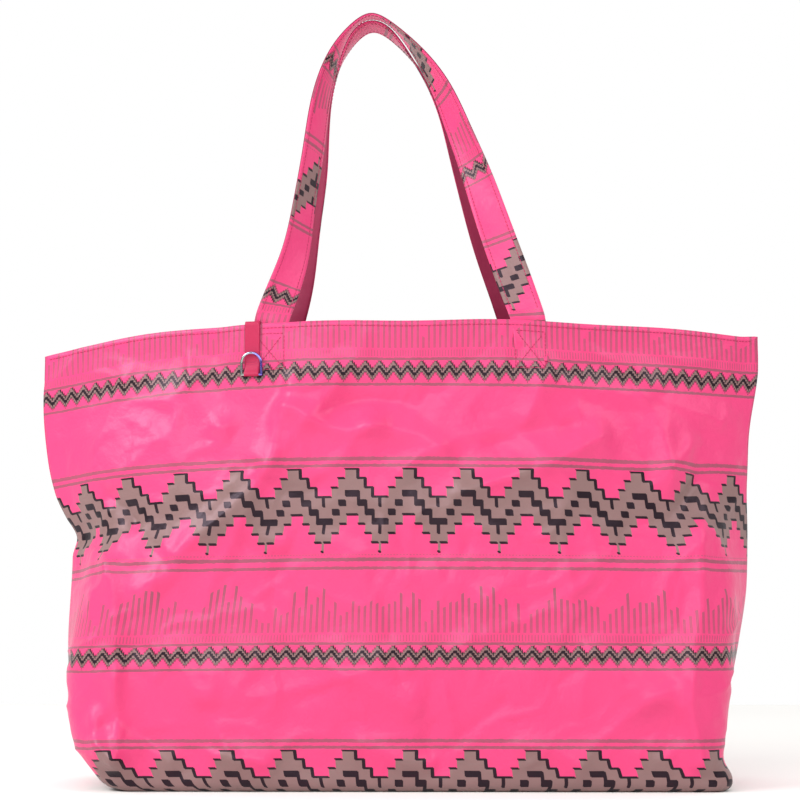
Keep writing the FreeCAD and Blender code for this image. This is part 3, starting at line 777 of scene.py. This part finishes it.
def strap_pieces(face, side):
    middle, width, normal = strap_frames(face)
    run = np.concatenate([[0], np.cumsum(np.linalg.norm(np.diff(middle, axis=0), axis=1))])
    k = np.linspace(-0.5, 0.5, 13)[None, :, None]
    free = (step(25, 90, np.minimum(run, run[-1] - run)))[:, None]
    wave = 0.9 * np.sin(run / 27 + face)[:, None] * k[..., 0] * 2 + 0.5 * np.sin(run / 15 + 2)[:, None]
    cup = (wave + 1.4 * np.sin(run / 70 + 1)[:, None] * (k[..., 0] ** 2 * 4 - 0.3)) * free
    narrow = (1 - 0.03 * free * (1 + np.sin(run / 33 + face)[:, None]))[..., None]
    body = middle[:, None] + width[:, None] * STRAP_WIDTH * k * narrow + normal[:, None] * cup[..., None]
    spot = np.stack([np.broadcast_to(-k[..., 0] * STRAP_WIDTH - 7.8, cup.shape),
                     np.broadcast_to(strap_print(run)[:, None], cup.shape)], -1)
    lift = normal[:, None]
    strap = f"{side}_strap"
    over = layer(f"{strap}_cloth", body + lift * STRAP_LAYER, body + lift * 0.02, PRINTED, spot)
    # the lining's deep colour is partly its own plain pink and partly painted shade
    under = layer(f"{strap}_lining", body - lift * 0.02, body - lift * STRAP_LAYER, LINING_WITH_PAINTED_SHADE, spot)
    lines = []
    for edge in (1, 11):
        share = 0.55 if edge == 1 else 0.45
        path = body[:, edge] * (1 - share) + body[:, edge + (1 if edge == 1 else -1)] * share
        path = path + normal * (STRAP_LAYER + 0.12)
        lines.append((path[16:-16], normal[16:-16]))
    threads = stitches(f"{strap}_threads", lines, THREAD, 3.2, 2.5, 0.32)
    for piece, slot, nodes in (
            (over, "printed_cloth", [f"{strap}_face", f"{side}_left_strap_end", f"{side}_right_strap_end"]),
            (under, "plain_cloth", [f"{strap}_backing"]), (threads, "thread", [f"{strap}_stitch"])):
        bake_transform(piece)
        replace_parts(piece, *nodes)


strap_pieces(FRONT, "front")
strap_pieces(BACK, "back")


# ---- tab ----------------------------------------------------------------------------------
# The ribbon is drawn as (y, z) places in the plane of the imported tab, which its two joints give:
# y into the bag from the wall's crest, z up.
joints = {j["name"]: j for j in frame["joints"]}
ring_x = unit(np.array(joints["d_ring_flip"]["axis"], float))
hinge, bar = (np.array(joints[n]["pos_m"], float) * 1000 for n in ("ring_tab_swing", "d_ring_flip"))
TAB_MIDDLE, BAR_Y, RIBBON_HALF = -1.25, -3.05, 0.27
hang = unit(bar - hinge)
square = np.cross(ring_x, hang)
hang_y, hang_z = np.array([BAR_Y - TAB_MIDDLE, -TAB_DROP]) / math.hypot(BAR_Y - TAB_MIDDLE, TAB_DROP)
ring_y, ring_z = hang_y * hang - hang_z * square, hang_z * hang + hang_y * square
crest = hinge - ring_y * TAB_MIDDLE + ring_z * 0.15


def on_tab(x, y, z):
    x, y, z = np.broadcast_arrays(x, y, z)
    return crest + x[..., None] * ring_x + y[..., None] * ring_y + z[..., None] * ring_z


turn = np.radians(np.linspace(190, 350, 13))
path = [(2.8, -24), (2.8, -12), (2.8, -2), (2.7, 0.4), (2.2, 1.3), (1.2, 1.6), (0, 1.6), (-0.9, 1.3),
        (-1.45, 0.5), (-1.58, -1), (-1.56, -12), (-1.55, -24), (-1.6, -31), (-1.9, -35), (-3.2, -38.5),
        (-4.45, -40.6)]
path += [(BAR_Y + 1.5 * math.cos(a), -TAB_DROP + 1.5 * math.sin(a)) for a in turn]
path += [(-1.3, -39), (-0.98, -35), (-0.95, -24), (-0.95, -12), (-0.95, -2), (-0.8, 0.3), (-0.4, 0.85),
         (0.4, 1.0), (1.4, 0.95), (2.0, 0.6), (2.2, -1), (2.2, -12), (2.2, -24)]
path = np.array(path, float)
run = np.concatenate([[0], np.cumsum(np.linalg.norm(np.diff(path, axis=0), axis=1))])
fine = np.linspace(0, run[-1], 300)
path = np.stack([np.interp(fine, run, path[:, k]) for k in (0, 1)], 1)
for _ in range(4):
    path[1:-1] = path[1:-1] * 0.5 + (path[:-2] + path[2:]) * 0.25
ahead = unit(np.gradient(path, axis=0))
off = np.stack([-ahead[:, 1], ahead[:, 0]], 1)
x = np.linspace(-TAB_WIDTH / 2, TAB_WIDTH / 2, 9)
outside, inside = (on_tab(x[None], side[:, :1], side[:, 1:])
                   for side in (path - RIBBON_HALF * off, path + RIBBON_HALF * off))
spot = np.stack(np.broadcast_arrays(x[None], fine[:, None]), -1)
ribbon = layer("tab_ribbon", outside, inside, RIBBON, spot)
start, end = (on_tab(0.0, y, 0.0) * 0.001 for y in (1.6, -0.85))
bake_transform(ribbon)
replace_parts(ribbon, "tab_end", "ring_tab")
x = np.linspace(-5.3, 5.3, 20)
tacks = [(on_tab(x, -1.95, z), np.tile(-ring_y, (20, 1))) for z in (-33.4, -31.6)]
tacks = stitches("tab_tacks", tacks, THREAD, 1.3, 1.25, 0.3)
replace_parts(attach(tacks, "ring_tab"), "tab_stitch")

ring = frame["nodes"]["d_ring"]
ring.data.materials.clear()
ring.data.materials.append(METAL)
ring.data.shade_smooth()


# ---- floor, light and camera --------------------------------------------------------------
def stage_material():
    found = bpy.data.materials.new("floor")
    found.use_nodes = True
    g = Graph(found.node_tree)
    shader = found.node_tree.nodes["Principled BSDF"]
    place = g.node("ShaderNodeTexCoord").outputs["Object"]
    shade = g.mix(g.noise(place, 3.0), (0.90, 0.89, 0.86, 1), (0.92, 0.91, 0.89, 1))
    g.put(shader.inputs["Base Color"], shade)
    shader.inputs["Roughness"].default_value = 0.9
    return found


mesh = bpy.data.meshes.new("floor")
mesh.from_pydata([(-4, -4, 0), (4, -4, 0), (4, 1.1, 0), (-4, 1.1, 0)], [], [(0, 1, 2, 3)])
mesh.materials.append(stage_material())
floor = bpy.data.objects.new("floor", mesh)
bpy.context.scene.collection.objects.link(floor)
floor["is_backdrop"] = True

scene = bpy.context.scene
scene.view_settings.view_transform = "Standard"
world = bpy.data.worlds.new("studio")
world.use_nodes = True
sky = world.node_tree.nodes["Background"]
sky.inputs["Color"].default_value = (1.0, 1.0, 1.0, 1)
g = Graph(world.node_tree)
split = g.node("ShaderNodeSeparateXYZ")
g.put(split.inputs[0], g.node("ShaderNodeTexCoord").outputs["Generated"])
# white behind the bag and overhead, and dimmer elsewhere
DIM, BRIGHT = 0.3, 1.0
parts = []
for axis_out, low_end, high_end in ((1, -0.15, 0.3), (2, 0.35, 0.8)):
    ramp = g.node("ShaderNodeMapRange", interpolation_type="SMOOTHSTEP")
    g.put(ramp.inputs[0], split.outputs[axis_out])
    for socket, value in zip(ramp.inputs[1:5], (low_end, high_end, DIM, BRIGHT)):
        socket.default_value = value
    parts.append(ramp.outputs[0])
g.put(sky.inputs["Strength"], g.most(*parts))
scene.world = world


def light(name, place, target, size, power, colour=(1, 1, 1)):
    lamp = bpy.data.lights.new(name, "AREA")
    lamp.shape, lamp.size, lamp.size_y = "RECTANGLE", size[0], size[1]
    lamp.energy, lamp.color = power, colour
    found = bpy.data.objects.new(name, lamp)
    found.location = place
    found.rotation_euler = (Vector(target) - Vector(place)).to_track_quat("-Z", "Y").to_euler()
    scene.collection.objects.link(found)


light("key", (-1.5, -0.9, 1.3), (0, 0, 0.25), (1.0, 0.8), 25)
light("front", (-0.3, -2.1, 1.02), (0, 0, 0.3), (1.6, 0.7), 19)
light("fill", (1.6, -1.2, 1.3), (0, 0, 0.25), (1.2, 0.8), 12)

camera = bpy.data.objects.new("camera", bpy.data.cameras.new("camera"))
camera.location = (0.018, -1.592, 0.157)
camera.rotation_euler = (math.pi / 2 + 0.1002, 0, 0.0117)
camera.data.sensor_width, camera.data.lens = 36, 85.77
scene.collection.objects.link(camera)
scene.camera = camera

low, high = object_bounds()
